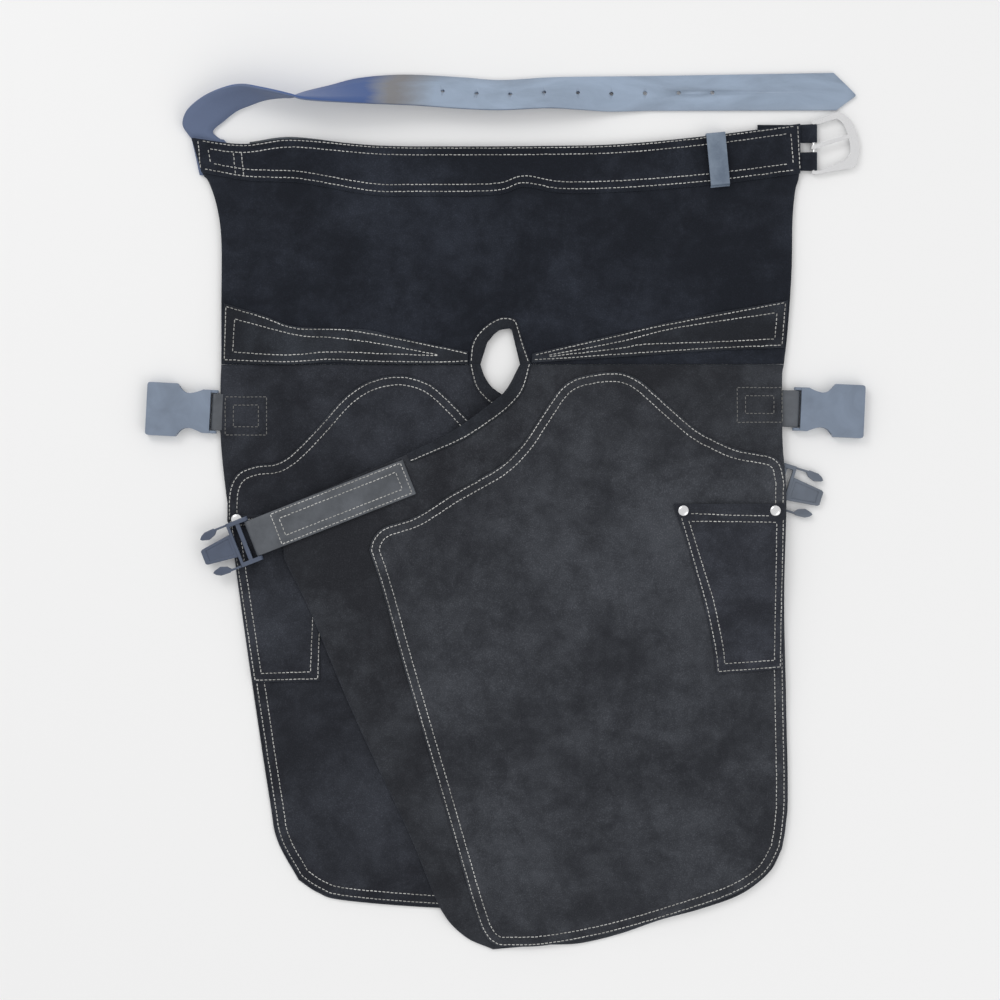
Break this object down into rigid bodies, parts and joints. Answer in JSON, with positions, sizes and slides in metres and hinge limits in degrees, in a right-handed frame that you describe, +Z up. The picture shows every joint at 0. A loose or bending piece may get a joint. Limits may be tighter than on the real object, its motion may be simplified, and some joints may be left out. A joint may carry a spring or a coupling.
{
  "type": "welding apron",
  "caption": "Split-leg suede welding apron laid flat, with waist belt and buckle, thigh patches, pockets, riveted mouths and side-release leg straps.",
  "frame": {"origin": "centre of the bounding box in plan, on the surface that the apron lies on", "axes": "+Z up out of the leather's outer face, +Y along the apron from hem to belt, +X towards the waist buckle"},
  "size_m": [0.7468, 0.911, 0.04],
  "materials": {
    "suede": "napped split leather, near black",
    "strap_leather": "smooth grain strap leather",
    "belt_leather": "smooth grain belt leather with a blue-grey sheen",
    "buckle_plastic": "moulded grey-blue plastic, satin",
    "nickel": "bright nickel plate"
  },
  "bodies": {
    "waist": {"waist_panel": "suede", "waistband": "suede", "waistband_lining": "strap_leather", "left_yoke": "suede", "right_yoke": "suede", "waist_binding": "suede", "belt_strap": "belt_leather", "belt_keeper": "belt_leather", "buckle_chape": "suede"},
    "buckle_frame": {"buckle_frame": "nickel"},
    "buckle_prong": {"buckle_prong": "nickel"},
    "left_leg": {"left_leg_panel": "suede", "left_thigh_patch": "suede", "left_pocket": "suede", "left_binding": "suede", "left_outer_rivet_cap": "nickel", "left_outer_rivet_washer": "nickel", "left_inner_rivet_cap": "nickel", "left_inner_rivet_washer": "nickel", "left_tab": "strap_leather", "left_leg_strap": "strap_leather"},
    "right_leg": {"right_leg_panel": "suede", "right_thigh_patch": "suede", "right_pocket": "suede", "right_binding": "suede", "right_outer_rivet_cap": "nickel", "right_outer_rivet_washer": "nickel", "right_inner_rivet_cap": "nickel", "right_inner_rivet_washer": "nickel", "right_tab": "strap_leather", "right_leg_strap": "strap_leather"},
    "left_socket": {"left_socket": "buckle_plastic"},
    "left_plug": {"left_plug": "buckle_plastic"},
    "left_plug_arm_a": {"left_plug_arm_a": "buckle_plastic"},
    "left_plug_arm_b": {"left_plug_arm_b": "buckle_plastic"},
    "right_socket": {"right_socket": "buckle_plastic"},
    "right_plug": {"right_plug": "buckle_plastic"},
    "right_plug_arm_a": {"right_plug_arm_a": "buckle_plastic"},
    "right_plug_arm_b": {"right_plug_arm_b": "buckle_plastic"}
  },
  "joints": [
    {"name": "right_leg_lift", "type": "hinge", "parent": "waist", "child": "right_leg", "pos_m": [0, 0.1527, 0.0068], "axis": [-1, 0, 0], "range_deg": [0, 160]},
    {"name": "left_leg_fold_back", "type": "hinge", "parent": "waist", "child": "left_leg", "pos_m": [0, 0.1527, 0.003], "axis": [1, 0, 0], "range_deg": [0, 160]},
    {"name": "waist_buckle_swing", "type": "hinge", "parent": "waist", "child": "buckle_frame", "pos_m": [0.321, 0.378, 0.004], "axis": [0, -1, 0], "range_deg": [0, 90]},
    {"name": "prong_swing", "type": "hinge", "parent": "buckle_frame", "child": "buckle_prong", "pos_m": [0.321, 0.378, 0.004], "axis": [0, -1, 0], "range_deg": [0, 60]},
    {"name": "left_socket_swing", "type": "hinge", "parent": "left_leg", "child": "left_socket", "pos_m": [-0.3012, 0.1035, 0.005], "axis": [0.0523, 0.9986, 0], "range_deg": [-60, 60]},
    {"name": "right_socket_swing", "type": "hinge", "parent": "right_leg", "child": "right_socket", "pos_m": [0.303, 0.1065, 0.005], "axis": [-0.0436, -0.999, 0], "range_deg": [-60, 60]},
    {"name": "left_plug_swing", "type": "hinge", "parent": "left_leg", "child": "left_plug", "pos_m": [0.2774, 0.0296, 0.0035], "axis": [-0.3024, -0.9532, 0], "range_deg": [-85, 0]},
    {"name": "left_plug_arm_a_flex", "type": "hinge", "parent": "left_plug", "child": "left_plug_arm_a", "pos_m": [0.30357, 0.04496, 0.0035], "axis": [0, 0, -1], "range_deg": [0, 8], "stiffness_Nm_per_rad": 0.6},
    {"name": "left_plug_arm_b_flex", "type": "hinge", "parent": "left_plug", "child": "left_plug_arm_b", "pos_m": [0.28993, 0.00197, 0.0035], "axis": [0, 0, 1], "range_deg": [0, 8], "stiffness_Nm_per_rad": 0.6},
    {"name": "right_plug_swing", "type": "hinge", "parent": "right_leg", "child": "right_plug", "pos_m": [-0.2613, -0.0281, 0.0127], "axis": [-0.3665, 0.9304, 0], "range_deg": [0, 85]},
    {"name": "right_plug_arm_a_flex", "type": "hinge", "parent": "right_plug", "child": "right_plug_arm_a", "pos_m": [-0.27192, -0.05652, 0.0127], "axis": [0, 0, -1], "range_deg": [0, 8], "stiffness_Nm_per_rad": 0.6},
    {"name": "right_plug_arm_b_flex", "type": "hinge", "parent": "right_plug", "child": "right_plug_arm_b", "pos_m": [-0.28845, -0.01456, 0.0127], "axis": [0, 0, 1], "range_deg": [0, 8], "stiffness_Nm_per_rad": 0.6}
  ]
}
